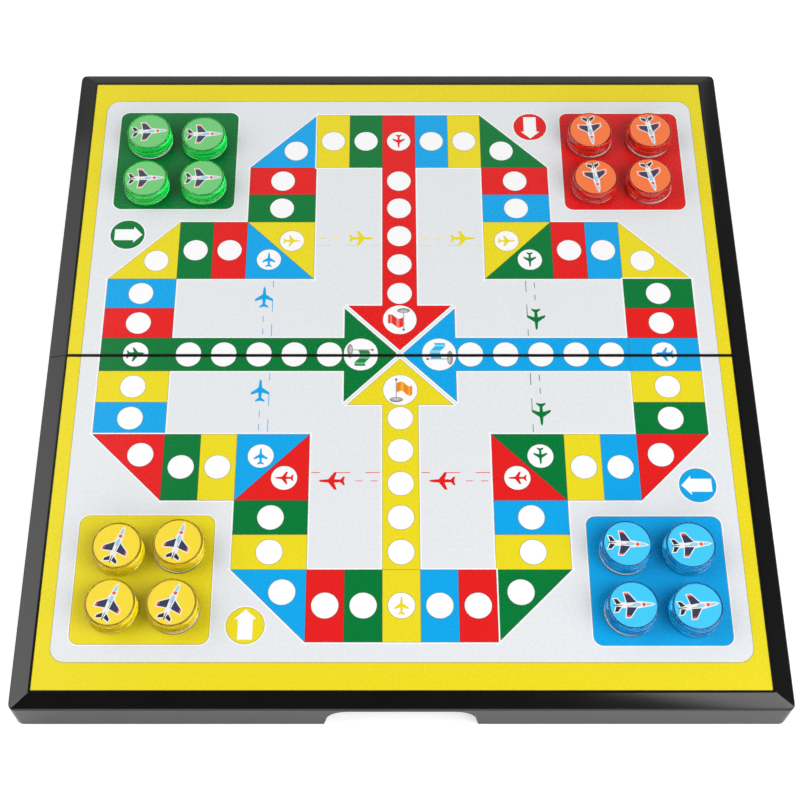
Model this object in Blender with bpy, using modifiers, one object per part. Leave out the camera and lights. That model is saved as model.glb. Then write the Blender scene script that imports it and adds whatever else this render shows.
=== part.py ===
"""Folding board box for a four-player race game, open flat, with its sixteen magnetic tokens.

Two moulded half cases stand side by side with their decks up and meet along a seam. Each carries a
printed steel board plate in a shallow pocket. Both fold about a pair of pinned hinges under the seam
until the rims meet: the front half swings down and under, so the boards end up outside and the two
trays close into a storage box. The rear rim has an inner lip that slides into the front rim's outer lip.

Axes: X runs along the seam, Y points from the front half to the rear half, Z is up. The origin is the
middle of the seam on the table. All lengths are in metres and all angles in radians.
"""

import math

import bmesh
import bpy
from mathutils import Matrix, Vector

# Half cases
case_width = 0.3200
half_depth = 0.1645
deck_height = 0.0213
bevel_drop = 0.0024
side_frame_width = 0.0088
end_frame_width = 0.0075
lip_width = 0.0009
seam_lip_width = 0.0004
corner_radius = 0.0030
inner_corner_radius = 0.0015
lip_corner_radius = 0.0005
pocket_corner_radius = 0.0004
wall_thickness = 0.0024
seam_wall_thickness = 0.0020
deck_thickness = 0.0017
wall_draft = 0.0002
core_draft = 0.0003
rib_thickness = 0.0012
rib_depth = 0.0015
ribs_across_count = 5
ribs_along_count = 2

# Finger notch in the outer wall of each half
notch_width = 0.0640
notch_flat_width = 0.0440
notch_crown_margin = 0.0026
notch_foot_height = 0.0045
notch_foot_flare = 0.0009
notch_arc_steps = 6

# Hinges under the seam
pin_diameter = 0.0016
knuckle_wall = 0.0011
knuckle_length = 0.0080
knuckle_count = 5
hinge_inset = 0.0500
pin_end_inset = 0.0005

# Clearances
seam_gap = 0.0003
closing_gap = 0.0003
lip_clearance = 0.0003
pin_clearance = 0.0003
knuckle_gap = 0.0003
table_clearance = 0.0002
plate_side_gap = 0.0002
plate_seat_gap = 0.0003
label_gap = 0.0002
magnet_gap = 0.0002
token_rest_gap = 0.0003
cutter_overrun = 0.0020
weld_distance = 0.00001

# Board plates
plate_thickness = 0.0004
plate_recess = 0.0003

# Tokens
token_diameter = 0.0220
token_body_diameter = 0.0212
token_groove_depth = 0.0004
token_groove_width = 0.0005
token_height = 0.0082
token_flange_height = 0.0008
token_edge_round = 0.0005
label_diameter = 0.0194
label_thickness = 0.0002
label_recess = 0.0003
magnet_diameter = 0.0216
magnet_thickness = 0.0010
magnet_shift = 0.0005
token_pitch = 0.0270
home_inset_x = 0.0428
home_inset_y = 0.0484

# Facets
corner_steps = 4
knuckle_sides = 16
bore_sides = 12
token_sides = 24

# Where the tokens stand: side of the board, and for each token its hand-set shift from the regular
# two by two pattern in shares of the pitch, then the direction in which its magnet disc sits off centre.
token_sets = {
    "green": {
        "home": (-1, 1),
        "shift_shares": ((0.01, -0.04), (0.00, -0.10), (0.02, -0.08), (0.03, -0.07)),
        "magnet_degrees": (300, 80, 120, 60),
    },
    "red": {
        "home": (1, 1),
        "shift_shares": ((-0.05, -0.01), (0.03, -0.01), (-0.02, -0.05), (-0.05, -0.03)),
        "magnet_degrees": (320, 255, 100, 325),
    },
    "yellow": {
        "home": (-1, -1),
        "shift_shares": ((0.09, -0.06), (0.04, 0.00), (0.06, 0.00), (0.00, 0.00)),
        "magnet_degrees": (110, 230, 70, 320),
    },
    "blue": {
        "home": (1, -1),
        "shift_shares": ((0.01, -0.03), (0.00, -0.05), (0.03, -0.04), (0.01, -0.06)),
        "magnet_degrees": (240, 100, 205, 75),
    },
}

# Sizes worked out from the ones above
case_half_width = case_width / 2
seam_face = seam_gap / 2
bore_radius = pin_diameter / 2 + pin_clearance
knuckle_radius = bore_radius + knuckle_wall
relief_radius = knuckle_radius + pin_clearance
fold_axis_height = knuckle_radius + table_clearance
rim_half_width = case_half_width + wall_draft
rim_depth = half_depth + wall_draft
rim_height = fold_axis_height + closing_gap / 2
rebate_height = 2 * fold_axis_height + closing_gap
lip_thickness = (wall_thickness - lip_clearance) / 2
lip_start = seam_face + seam_wall_thickness + core_draft
crisp_edge_height = deck_height - bevel_drop
plate_top = deck_height - plate_recess
pocket_floor = plate_top - plate_thickness - plate_seat_gap
deck_underside = pocket_floor - deck_thickness
pocket_half_width = case_half_width - side_frame_width
pocket_near = seam_face + seam_lip_width
pocket_far = half_depth - end_frame_width
home_centre_x = pocket_half_width - home_inset_x
home_centre_y = pocket_far - home_inset_y
hinge_centre = case_half_width - hinge_inset
hinge_length = knuckle_count * knuckle_length + (knuckle_count - 1) * knuckle_gap
token_radius = token_diameter / 2
token_body_radius = token_body_diameter / 2

quarter_turn = math.pi / 2
full_turn = 2 * math.pi
sharp_edge_angle = math.radians(35)
rear = 1
front = -1


def clear_scene():
    """Remove whatever the opened file holds."""
    for thing in list(bpy.data.objects):
        bpy.data.objects.remove(thing, do_unlink=True)


def new_collection(name):
    """Add a collection to the scene."""
    collection = bpy.data.collections.new(name)
    bpy.context.scene.collection.children.link(collection)
    return collection


def principled(name, colour, roughness, metallic=0.0, transmission=0.0):
    """Make a plain surface from a colour, a roughness and a metallic value."""
    material = bpy.data.materials.new(name)
    material.use_nodes = True
    surface = material.node_tree.nodes["Principled BSDF"]
    surface.inputs["Base Color"].default_value = (*colour, 1.0)
    surface.inputs["Roughness"].default_value = roughness
    surface.inputs["Metallic"].default_value = metallic
    surface.inputs["Transmission Weight"].default_value = transmission
    material.diffuse_color = (*colour, 1.0)
    return material


def smooth(mesh):
    """Shade round faces smooth and keep the real edges sharp."""
    mesh.shade_smooth()
    mesh.set_sharp_from_angle(angle=sharp_edge_angle)


def add_part(name, mesh, material, location=(0, 0, 0)):
    """Add one visible piece to the parts collection."""
    part = bpy.data.objects.new(name, mesh)
    parts.objects.link(part)
    mesh.materials.append(material)
    part.location = location
    return part


def add_cutter(name, mesh):
    """Add a hidden tool shape that a Boolean uses."""
    tool = bpy.data.objects.new(name, mesh)
    cutters.objects.link(tool)
    tool.hide_render = True
    tool.display_type = 'WIRE'
    return tool


def apply_tool(part, tool, operation):
    """Cut or join a part with a tool shape."""
    modifier = part.modifiers.new(tool.name, 'BOOLEAN')
    modifier.operation = operation
    modifier.solver = 'EXACT'
    modifier.object = tool


def mesh_from(name, build):
    """Run a function on an empty bmesh and keep the result as a mesh."""
    shape = bmesh.new()
    build(shape)
    mesh = bpy.data.meshes.new(name)
    shape.to_mesh(mesh)
    shape.free()
    return mesh


def add_box(shape, low, high):
    """Add a box between two corners."""
    size = [b - a for a, b in zip(low, high)]
    middle = [(a + b) / 2 for a, b in zip(low, high)]
    matrix = Matrix.Translation(middle) @ Matrix.Diagonal((*size, 1))
    bmesh.ops.create_cube(shape, size=1, matrix=matrix)


def add_rod(shape, radius, start, end, height, sides):
    """Add a cylinder along X between two places, over the seam line."""
    middle = Vector(((start + end) / 2, 0, height))
    matrix = Matrix.Translation(middle) @ Matrix.Rotation(quarter_turn, 4, 'Y')
    bmesh.ops.create_cone(shape, cap_ends=True, segments=sides, radius1=radius, radius2=radius,
                          depth=end - start, matrix=matrix)


def add_disc(shape, radius, low, high, sides):
    """Add an upright cylinder around the local origin."""
    matrix = Matrix.Translation((0, 0, (low + high) / 2))
    bmesh.ops.create_cone(shape, cap_ends=True, segments=sides, radius1=radius, radius2=radius,
                          depth=high - low, matrix=matrix)


def outline(half_width, near, far, radius, side):
    """Plan of a half case, anticlockwise: square at the seam, rounded at its two outer corners."""
    points = [(-half_width, near), (half_width, near)]
    for corner in (0, 1):
        centre_x = (half_width - radius) * (1 - 2 * corner)
        for step in range(corner_steps + 1):
            angle = quarter_turn * (corner + step / corner_steps)
            points.append((centre_x + radius * math.cos(angle), far - radius + radius * math.sin(angle)))
    return [(side * x, side * y) for x, y in points]


def add_loft(shape, rings, closed=False):
    """Skin between outlines of equal point count, then cap both ends or join them.

    Each ring is an outline and its height, either one number or a function of the place in the plan.
    """
    loops = []
    for points, height in rings:
        heights = [height(x, y) if callable(height) else height for x, y in points]
        loops.append([shape.verts.new((x, y, z)) for (x, y), z in zip(points, heights)])
    pairs = list(zip(loops, loops[1:]))
    if closed:
        pairs.append((loops[-1], loops[0]))
    for first, second in pairs:
        for index, corner in enumerate(first):
            following = (index + 1) % len(first)
            shape.faces.new((corner, first[following], second[following], second[index]))
    if not closed:
        shape.faces.new(reversed(loops[0]))
        shape.faces.new(loops[-1])


def bevel_height(x, y):
    """Height of the frame's sloping faces over a place in the plan: they meet in a crisp mitre."""
    from_side = (case_half_width - abs(x)) / (side_frame_width - lip_width)
    from_end = (half_depth - abs(y)) / (end_frame_width - lip_width)
    return crisp_edge_height + bevel_drop * min(from_side, from_end)


def half_case_mesh(name, side):
    """Tray with a bevelled frame: cavity ceiling, walls, crisp edge, bevel, lip and plate pocket."""
    inner_half_width = rim_half_width - wall_thickness
    inner_near = seam_face + seam_wall_thickness
    inner_far = rim_depth - wall_thickness
    ceiling = outline(inner_half_width - core_draft, inner_near + core_draft, inner_far - core_draft,
                      inner_corner_radius, side)
    inner_rim = outline(inner_half_width, inner_near, inner_far, inner_corner_radius, side)
    outer_rim = outline(rim_half_width, seam_face, rim_depth, corner_radius, side)
    crisp_edge = outline(case_half_width, seam_face, half_depth, corner_radius, side)
    lip_outside = outline(pocket_half_width + lip_width, seam_face, pocket_far + lip_width,
                          lip_corner_radius, side)
    lip_inside = outline(pocket_half_width, pocket_near, pocket_far, pocket_corner_radius, side)

    def build(shape):
        add_loft(shape, [
            (ceiling, deck_underside),
            (inner_rim, 0),
            (outer_rim, 0),
            (crisp_edge, bevel_height),
            (lip_outside, deck_height),
            (lip_inside, deck_height),
            (lip_inside, pocket_floor),
        ])

    return mesh_from(name, build)


def seam_rim_tool(name, side):
    """Trim below the seam wall and the wall ends beside it, up to the plane where the rims meet."""
    reach = rim_half_width + cutter_overrun
    edges = sorted((side * (seam_face - cutter_overrun), side * (lip_start + lip_clearance)))

    def build(shape):
        add_box(shape, (-reach, edges[0], -cutter_overrun), (reach, edges[1], rim_height))

    return add_cutter(name, mesh_from(name, build))


def outer_rebate_tool(name, side):
    """Trim the outer half of the wall and leave an inner lip."""
    lip_side = rim_half_width - lip_thickness - lip_clearance
    lip_far = rim_depth - lip_thickness - lip_clearance
    around = outline(rim_half_width + cutter_overrun, lip_start, rim_depth + cutter_overrun,
                     corner_radius, side)
    within = outline(lip_side, lip_start + lip_clearance, lip_far, inner_corner_radius + lip_thickness, side)

    def build(shape):
        add_loft(shape, [
            (within, rebate_height),
            (within, -cutter_overrun),
            (around, -cutter_overrun),
            (around, rebate_height),
        ], closed=True)

    return add_cutter(name, mesh_from(name, build))


def inner_rebate_tool(name, side):
    """Trim the inner half of the wall and leave an outer lip."""
    within = outline(rim_half_width - lip_thickness, lip_start, rim_depth - lip_thickness,
                     inner_corner_radius + lip_thickness + lip_clearance, side)

    def build(shape):
        add_loft(shape, [(within, -cutter_overrun), (within, rebate_height)])

    return add_cutter(name, mesh_from(name, build))


def notch_outline():
    """Half-arched opening: straight flared feet, quarter arcs and a flat crown."""
    crown = crisp_edge_height - notch_crown_margin
    half_foot = notch_width / 2
    half_throat = half_foot - notch_foot_flare
    half_flat = notch_flat_width / 2
    flare_run = notch_foot_flare * cutter_overrun / notch_foot_height
    right = [(half_foot + flare_run, -cutter_overrun)]
    for step in range(notch_arc_steps + 1):
        angle = quarter_turn * step / notch_arc_steps
        right.append((half_flat + (half_throat - half_flat) * math.cos(angle),
                      notch_foot_height + (crown - notch_foot_height) * math.sin(angle)))
    return right + [(-x, z) for x, z in reversed(right)]


def notch_tool(name, side):
    """Extrude the notch outline through the outer wall."""
    curve = bpy.data.curves.new(name, 'CURVE')
    curve.dimensions = '2D'
    curve.fill_mode = 'BOTH'
    curve.extrude = wall_thickness / 2 + cutter_overrun
    points = notch_outline()
    spline = curve.splines.new('POLY')
    spline.points.add(len(points) - 1)
    for point, (x, z) in zip(spline.points, points):
        point.co = (x, z, 0, 1)
    spline.use_cyclic_u = True
    template = bpy.data.objects.new(name, curve)
    cutters.objects.link(template)
    template.matrix_world = (Matrix.Translation((0, side * (rim_depth - wall_thickness / 2), 0))
                             @ Matrix.Rotation(quarter_turn, 4, 'X'))
    bpy.context.view_layer.update()
    evaluated = template.evaluated_get(bpy.context.evaluated_depsgraph_get())
    mesh = bpy.data.meshes.new_from_object(evaluated)
    shape = bmesh.new()
    shape.from_mesh(mesh)
    bmesh.ops.remove_doubles(shape, verts=shape.verts, dist=weld_distance)
    bmesh.ops.recalc_face_normals(shape, faces=shape.faces)
    shape.to_mesh(mesh)
    shape.free()
    mesh.transform(template.matrix_world)
    bpy.data.objects.remove(template, do_unlink=True)
    return add_cutter(name, mesh)


def rib_tools(name, side):
    """Stiffening ribs under the deck, as one set across the board and one along the seam."""
    half_reach = rim_half_width - wall_thickness / 2
    near = seam_face + seam_wall_thickness / 2
    far = rim_depth - wall_thickness / 2
    low = deck_underside - rib_depth
    high = (deck_underside + crisp_edge_height) / 2

    def build_across(shape):
        edges = sorted((side * near, side * far))
        for index in range(ribs_across_count):
            x = half_reach * (2 * (index + 1) / (ribs_across_count + 1) - 1)
            add_box(shape, (x - rib_thickness / 2, edges[0], low), (x + rib_thickness / 2, edges[1], high))

    def build_along(shape):
        for index in range(ribs_along_count):
            y = side * (near + (far - near) * (index + 1) / (ribs_along_count + 1))
            add_box(shape, (-half_reach, y - rib_thickness / 2, low), (half_reach, y + rib_thickness / 2, high))

    return (add_cutter(name + "_across", mesh_from(name, build_across)),
            add_cutter(name + "_along", mesh_from(name, build_along)))


def hinge_starts():
    """X of the left end of each hinge."""
    return [place * hinge_centre - hinge_length / 2 for place in (-1, 1)]


def own_knuckles(side):
    """Start and end along X of each knuckle that a half carries: outer and middle ones on the rear."""
    first = 0 if side == rear else 1
    for start in hinge_starts():
        for index in range(first, knuckle_count, 2):
            left = start + index * (knuckle_length + knuckle_gap)
            yield left, left + knuckle_length


def hinge_tools(name, side):
    """Relief in the seam wall, the webs and barrels of this half's knuckles, and the pin bores."""
    web_top = fold_axis_height + relief_radius + seam_wall_thickness
    web_edges = sorted((side * seam_face, side * (seam_face + seam_wall_thickness)))

    def build_relief(shape):
        for start in hinge_starts():
            add_rod(shape, relief_radius, start - knuckle_gap, start + hinge_length + knuckle_gap,
                    fold_axis_height, knuckle_sides)

    def build_webs(shape):
        for left, right in own_knuckles(side):
            add_box(shape, (left, web_edges[0], fold_axis_height), (right, web_edges[1], web_top))

    def build_barrels(shape):
        for left, right in own_knuckles(side):
            add_rod(shape, knuckle_radius, left, right, fold_axis_height, knuckle_sides)

    def build_bores(shape):
        for start in hinge_starts():
            add_rod(shape, bore_radius, start - cutter_overrun, start + hinge_length + cutter_overrun,
                    fold_axis_height, bore_sides)

    relief = add_cutter(name + "_relief", mesh_from(name, build_relief))
    webs = add_cutter(name + "_webs", mesh_from(name, build_webs))
    barrels = add_cutter(name + "_barrels", mesh_from(name, build_barrels))
    bores = add_cutter(name + "_bores", mesh_from(name, build_bores))
    return relief, webs, barrels, bores


def half_case(name, side, material):
    """One moulded half: tray, rim lip, finger notch, ribs and hinge knuckles."""
    mesh = half_case_mesh(name, side)
    shell = add_part(name, mesh, material)
    apply_tool(shell, seam_rim_tool(name + "_seam_rim", side), 'DIFFERENCE')
    rebate_tool = outer_rebate_tool if side == rear else inner_rebate_tool
    apply_tool(shell, rebate_tool(name + "_rebate", side), 'DIFFERENCE')
    apply_tool(shell, notch_tool(name + "_notch", side), 'DIFFERENCE')
    for ribs in rib_tools(name + "_ribs", side):
        apply_tool(shell, ribs, 'UNION')
    relief, webs, barrels, bores = hinge_tools(name + "_hinge", side)
    apply_tool(shell, relief, 'DIFFERENCE')
    apply_tool(shell, webs, 'UNION')
    apply_tool(shell, barrels, 'UNION')
    apply_tool(shell, bores, 'DIFFERENCE')
    return shell


def board_plate(name, side, material):
    """Thin steel plate that lies in the deck pocket and carries the printed board."""
    plan = outline(pocket_half_width - plate_side_gap, pocket_near + plate_side_gap,
                   pocket_far - plate_side_gap, pocket_corner_radius, side)

    def build(shape):
        add_loft(shape, [(plan, plate_top - plate_thickness), (plan, plate_top)])

    return add_part(name, mesh_from(name, build), material)


def hinge_pin(name, start, material):
    """Steel pin through the knuckles of one hinge."""
    def build(shape):
        add_rod(shape, pin_diameter / 2, start + pin_end_inset, start + hinge_length - pin_end_inset,
                fold_axis_height, bore_sides)

    pin = add_part(name, mesh_from(name, build), material)
    smooth(pin.data)
    return pin


def token_case_profile():
    """Half section of a token's case, from the middle of its label seat down its side to its base."""
    seat_radius = label_diameter / 2 + label_gap
    seat = token_height - label_recess - label_thickness - label_gap
    base = magnet_thickness + magnet_gap
    shoulder = base + token_flange_height
    groove_radius = token_body_radius - token_groove_depth
    middle = (shoulder + token_height) / 2
    return [
        (0, seat),
        (seat_radius, seat),
        (seat_radius, token_height),
        (token_body_radius - token_edge_round, token_height),
        (token_body_radius, token_height - token_edge_round),
        (token_body_radius, middle + token_groove_width / 2),
        (groove_radius, middle),
        (token_body_radius, middle - token_groove_width / 2),
        (token_body_radius, shoulder),
        (token_radius, base + token_flange_height / 2),
        (token_radius, base),
        (0, base),
    ]


def token_case(name, material):
    """Turn the case profile about the token's own axis."""
    profile = token_case_profile()
    mesh = bpy.data.meshes.new(name)
    mesh.from_pydata([(radius, 0, height) for radius, height in profile],
                     [(index, index + 1) for index in range(len(profile) - 1)], [])
    case = add_part(name, mesh, material)
    turning = case.modifiers.new("turning", 'SCREW')
    turning.axis = 'Z'
    turning.angle = full_turn
    turning.steps = token_sides
    turning.render_steps = token_sides
    turning.use_merge_vertices = True
    turning.merge_threshold = weld_distance
    turning.use_smooth_shade = True
    return case


def token_label(name, material):
    """Round label in the recess on top of the case."""
    low = token_height - label_recess - label_thickness

    def build(shape):
        add_disc(shape, label_diameter / 2, low, low + label_thickness, token_sides)

    return add_part(name, mesh_from(name, build), material)


def token_magnet(name, material):
    """Flat magnet disc under the case."""
    def build(shape):
        add_disc(shape, magnet_diameter / 2, 0, magnet_thickness, token_sides)

    return add_part(name, mesh_from(name, build), material)


def attach(child, parent):
    """Parent a piece and keep it where it is."""
    bpy.context.view_layer.update()
    child.parent = parent
    child.matrix_parent_inverse = parent.matrix_world.inverted()


def token_place(home, index, shift_shares):
    """Where a token stands on its home square, read row by row from the back left."""
    column = index % 2 - 0.5
    row = 0.5 - index // 2
    shift_x, shift_y = shift_shares[index]
    return Vector((home[0] * home_centre_x + (column + shift_x) * token_pitch,
                   home[1] * home_centre_y + (row + shift_y) * token_pitch,
                   plate_top + token_rest_gap))


def token_set(colour, carrier):
    """The four tokens of one player, carried by the half that they stand on."""
    layout = token_sets[colour]
    for index in range(4):
        name = "%s_token_%d" % (colour, index + 1)
        case = token_case(name + "_case", plastics[colour])
        label = token_label(name + "_label", papers[colour])
        magnet = token_magnet(name + "_magnet", magnet_face)
        case.location = token_place(layout["home"], index, layout["shift_shares"])
        label.location = case.location
        direction = math.radians(layout["magnet_degrees"][index])
        slip = Vector((math.cos(direction), math.sin(direction), 0)) * magnet_shift
        magnet.location = case.location + slip
        attach(label, case)
        attach(magnet, case)
        attach(case, carrier)


clear_scene()
parts = new_collection("folding_ludo_board_box")
cutters = new_collection("cutters")

black_plastic = principled("black moulded plastic", (0.017, 0.017, 0.017), 0.38)
printed_steel = principled("printed steel plate", (0.86, 0.70, 0.02), 0.30)
pin_steel = principled("hinge pin steel", (0.56, 0.57, 0.58), 0.30, metallic=1.0)
magnet_face = principled("white faced magnet", (0.80, 0.80, 0.80), 0.45)
plastics = {
    "green": principled("clear green plastic", (0.010, 0.290, 0.035), 0.12, transmission=0.5),
    "red": principled("clear red plastic", (0.720, 0.012, 0.010), 0.12, transmission=0.5),
    "yellow": principled("clear yellow plastic", (0.830, 0.640, 0.010), 0.12, transmission=0.5),
    "blue": principled("clear blue plastic", (0.004, 0.290, 0.700), 0.12, transmission=0.5),
}
papers = {
    "green": principled("light green label", (0.160, 0.620, 0.180), 0.50),
    "red": principled("orange label", (1.000, 0.190, 0.032), 0.50),
    "yellow": principled("light yellow label", (0.985, 0.730, 0.032), 0.50),
    "blue": principled("light blue label", (0.045, 0.610, 0.985), 0.50),
}

rear_shell = half_case("rear_shell", rear, black_plastic)
front_shell = half_case("front_shell", front, black_plastic)
rear_plate = board_plate("rear_board_plate", rear, printed_steel)
front_plate = board_plate("front_board_plate", front, printed_steel)
attach(rear_plate, rear_shell)

fold_axis = bpy.data.objects.new("fold_axis", None)
parts.objects.link(fold_axis)
fold_axis.location = (0, 0, fold_axis_height)
attach(front_shell, fold_axis)
attach(front_plate, front_shell)

for pin_name, pin_start in zip(("hinge_pin_left", "hinge_pin_right"), hinge_starts()):
    attach(hinge_pin(pin_name, pin_start, pin_steel), rear_shell)

for colour in token_sets:
    token_set(colour, rear_shell if token_sets[colour]["home"][1] == rear else front_shell)
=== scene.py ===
# %% [markdown]
# # Folding board box for a four-player race game
#
# The real thing is a pair of moulded black plastic trays, hinged at the seam, each with a printed steel sheet
# in its deck. Sixteen clear coloured tokens with magnets stand on it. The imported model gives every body, joint
# and size. This lesson dresses it: it rounds the moulded edges, prints the board, turns the tokens and lights
# the whole as in a small photo studio. Lengths below are in millimetres and become metres in the meshes.

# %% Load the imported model
import math

import bmesh
import bpy
from mathutils import Matrix, Vector
from mathutils.geometry import delaunay_2d_cdt


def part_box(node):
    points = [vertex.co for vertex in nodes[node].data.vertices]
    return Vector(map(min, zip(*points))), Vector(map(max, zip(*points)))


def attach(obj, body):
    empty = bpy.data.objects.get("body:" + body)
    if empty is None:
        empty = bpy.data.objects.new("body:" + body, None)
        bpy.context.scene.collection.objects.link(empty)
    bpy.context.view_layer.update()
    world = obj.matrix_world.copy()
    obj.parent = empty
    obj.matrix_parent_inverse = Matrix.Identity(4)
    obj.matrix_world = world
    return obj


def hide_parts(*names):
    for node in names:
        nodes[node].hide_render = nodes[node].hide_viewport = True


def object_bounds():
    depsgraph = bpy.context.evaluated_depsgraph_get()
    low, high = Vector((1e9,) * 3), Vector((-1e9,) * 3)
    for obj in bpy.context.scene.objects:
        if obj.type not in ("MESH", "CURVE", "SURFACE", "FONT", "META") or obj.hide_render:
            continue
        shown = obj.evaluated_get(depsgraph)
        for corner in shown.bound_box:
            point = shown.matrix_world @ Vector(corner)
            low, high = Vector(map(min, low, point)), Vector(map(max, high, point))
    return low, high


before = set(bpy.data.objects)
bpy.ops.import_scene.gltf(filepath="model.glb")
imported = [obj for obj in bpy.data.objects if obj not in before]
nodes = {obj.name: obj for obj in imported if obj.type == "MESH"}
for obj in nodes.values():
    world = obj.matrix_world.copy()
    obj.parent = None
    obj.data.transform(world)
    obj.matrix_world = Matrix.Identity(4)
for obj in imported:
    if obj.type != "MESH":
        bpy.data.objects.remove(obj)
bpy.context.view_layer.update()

MM = 0.001


# %% [markdown]
# ## Tools for the bench
#
# Blender's operators act on whatever is selected, and a freshly loaded model is selected all over. So one helper
# leaves a single piece active, and another picks faces or edges in edit mode by a test on their place or angle.
# A third turns and moves a finished piece and keeps both in its mesh, so that its origin stays at the model's
# own and patterns that read Object coordinates hold still.

# %% Selecting and placing
def alone(piece):
    """Leave only this piece selected and active."""
    bpy.ops.object.select_all(action='DESELECT')
    piece.select_set(True)
    bpy.context.view_layer.objects.active = piece


def pick(piece, kind, wanted):
    """In edit mode, select the faces, edges or corners that pass a test, and say how many."""
    bpy.ops.mesh.select_mode(type=kind)
    bpy.ops.mesh.select_all(action='DESELECT')
    shape = bmesh.from_edit_mesh(piece.data)
    found = [item for item in {'VERT': shape.verts, 'EDGE': shape.edges, 'FACE': shape.faces}[kind] if wanted(item)]
    for item in found:
        item.select_set(True)
    bmesh.update_edit_mesh(piece.data)
    return len(found)


def settle(piece, place=(0, 0, 0), turn=0.0):
    """Turn a piece about Z, move it, and keep both in its mesh."""
    alone(piece)
    piece.location = place
    piece.rotation_euler = (0, 0, turn)
    bpy.ops.object.transform_apply(location=True, rotation=True, scale=True)


def smooth(piece, degrees=35):
    """Shade round faces smooth and keep real edges sharp."""
    alone(piece)
    bpy.ops.object.shade_smooth_by_angle(angle=math.radians(degrees))


# %% [markdown]
# ## Tools for materials
#
# Colours are written as on a print order, in sRGB hex, and one function turns them to the linear values that
# shaders use. One small function adds a node with its options and sets or links its inputs, so each material
# reads as a short list of what its surface does.

# %% Colour and node helpers
def paint(hex_colour):
    """Linear RGBA of an sRGB hex colour."""
    parts = [int(hex_colour[start:start + 2], 16) / 255 for start in (1, 3, 5)]
    linear = [part / 12.92 if part <= 0.04045 else ((part + 0.055) / 1.055) ** 2.4 for part in parts]
    return (*linear, 1.0)


def shade(hex_colour, factor):
    """The same colour, a little lighter or darker."""
    return (*[min(part * factor, 1.0) for part in paint(hex_colour)[:3]], 1.0)


def add_node(tree, kind, inputs=None, **options):
    """Add a node, set its options, then set each input to a value or link it to another node's output."""
    node = tree.nodes.new(kind)
    for option, value in options.items():
        setattr(node, option, value)
    for socket, value in (inputs or {}).items():
        if isinstance(value, bpy.types.NodeSocket):
            tree.links.new(value, node.inputs[socket])
        else:
            node.inputs[socket].default_value = value
    return node


def new_material(name, hex_colour):
    """A material whose plain colour is already right, ready for its detail nodes."""
    material = bpy.data.materials.new(name)
    material.use_nodes = True
    material.diffuse_color = paint(hex_colour)
    surface = material.node_tree.nodes["Principled BSDF"]
    surface.inputs["Base Color"].default_value = paint(hex_colour)
    return material, material.node_tree, surface


# %% [markdown]
# ## Black moulded ABS
#
# The trays are injection moulded in black ABS. The mould is finely textured over a polish, which gives a
# half-gloss face: nearly black where it looks at a dark part of the studio, and grey with soft borders where it
# mirrors a lamp. The real grain is about
# 0.1 mm; it is drawn at 0.35 mm so that it shows. It goes into the bump, a wider drift of the moulding gloss
# goes into the roughness, and the colour itself hardly varies.

# %% Material: black ABS
def textured_abs():
    material, tree, surface = new_material("Moulded ABS, black, finely textured, half gloss", "#101010")
    place = add_node(tree, "ShaderNodeTexCoord").outputs["Object"]
    flow = add_node(tree, "ShaderNodeTexNoise", {"Vector": place, "Scale": 1 / (18 * MM), "Detail": 3.0})
    grain = add_node(tree, "ShaderNodeTexNoise", {"Vector": place, "Scale": 1 / (0.35 * MM), "Detail": 2.0})
    colour = add_node(tree, "ShaderNodeMix", {0: flow.outputs["Fac"], 6: paint("#0D0D0D"), 7: paint("#131313")},
                      data_type='RGBA')
    gloss = add_node(tree, "ShaderNodeMapRange", {"Value": flow.outputs["Fac"], "To Min": 0.11, "To Max": 0.15})
    relief = add_node(tree, "ShaderNodeBump", {"Height": grain.outputs["Fac"], "Strength": 0.12,
                                               "Distance": 0.02 * MM})
    tree.links.new(colour.outputs[2], surface.inputs["Base Color"])
    tree.links.new(gloss.outputs["Result"], surface.inputs["Roughness"])
    tree.links.new(relief.outputs["Normal"], surface.inputs["Normal"])
    surface.inputs["IOR"].default_value = 1.53
    return material


black_abs = textured_abs()
print("made:", black_abs.name)


# %% [markdown]
# ## The two trays
#
# A moulded tray has no knife-sharp edges: a steel mould leaves a radius of a few tenths of a millimetre, and
# that radius catches the light as a thin line round the frame. The tray could be modelled anew, but its walls,
# ribs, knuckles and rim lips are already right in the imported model. So each tray starts as a copy of that mesh.
# It is welded, its flat faces are joined, and its outer edges are picked by place and bevelled. The mitres of
# the sloping frame stay crisp, as in the real mould.

# %% Copy a tray and join its flat faces
def welded_copy(node_name, piece_name):
    piece = bpy.data.objects.new(piece_name, nodes[node_name].data.copy())
    bpy.context.scene.collection.objects.link(piece)
    piece.data.materials.clear()
    alone(piece)
    bpy.ops.object.mode_set(mode='EDIT')
    bpy.ops.mesh.select_all(action='SELECT')
    bpy.ops.mesh.remove_doubles(threshold=0.01 * MM)
    bpy.ops.mesh.dissolve_limited(angle_limit=math.radians(0.5))
    return piece


# %% Where the moulded edges are
DECK = 21.3
CRISP = 18.9
CORNER_TOP = 19.3
HALF_WIDTH = 160.0
WALL_FACE = 164.5
NOTCH_REACH = 33.0
NOTCH_TOP = 16.4
SIDE_FRAME = 9.0
RIM_ABOVE_KNUCKLES = 2.6
EDGE_TURN = math.radians(12)


def corners_mm(edge):
    return [corner.co / MM for corner in edge.verts]


def turns(edge):
    return len(edge.link_faces) == 2 and edge.calc_face_angle(0) > EDGE_TURN


def on_deck_edge(edge):
    return turns(edge) and all(abs(corner.z - DECK) < 0.05 for corner in corners_mm(edge))


def on_crisp_edge(edge):
    return turns(edge) and all(CRISP - 0.05 < corner.z < CORNER_TOP for corner in corners_mm(edge))


def on_notch_edge(edge):
    return turns(edge) and all(abs(corner.x) < NOTCH_REACH and abs(corner.y) > WALL_FACE - 0.1
                               and corner.z < NOTCH_TOP for corner in corners_mm(edge))


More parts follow.
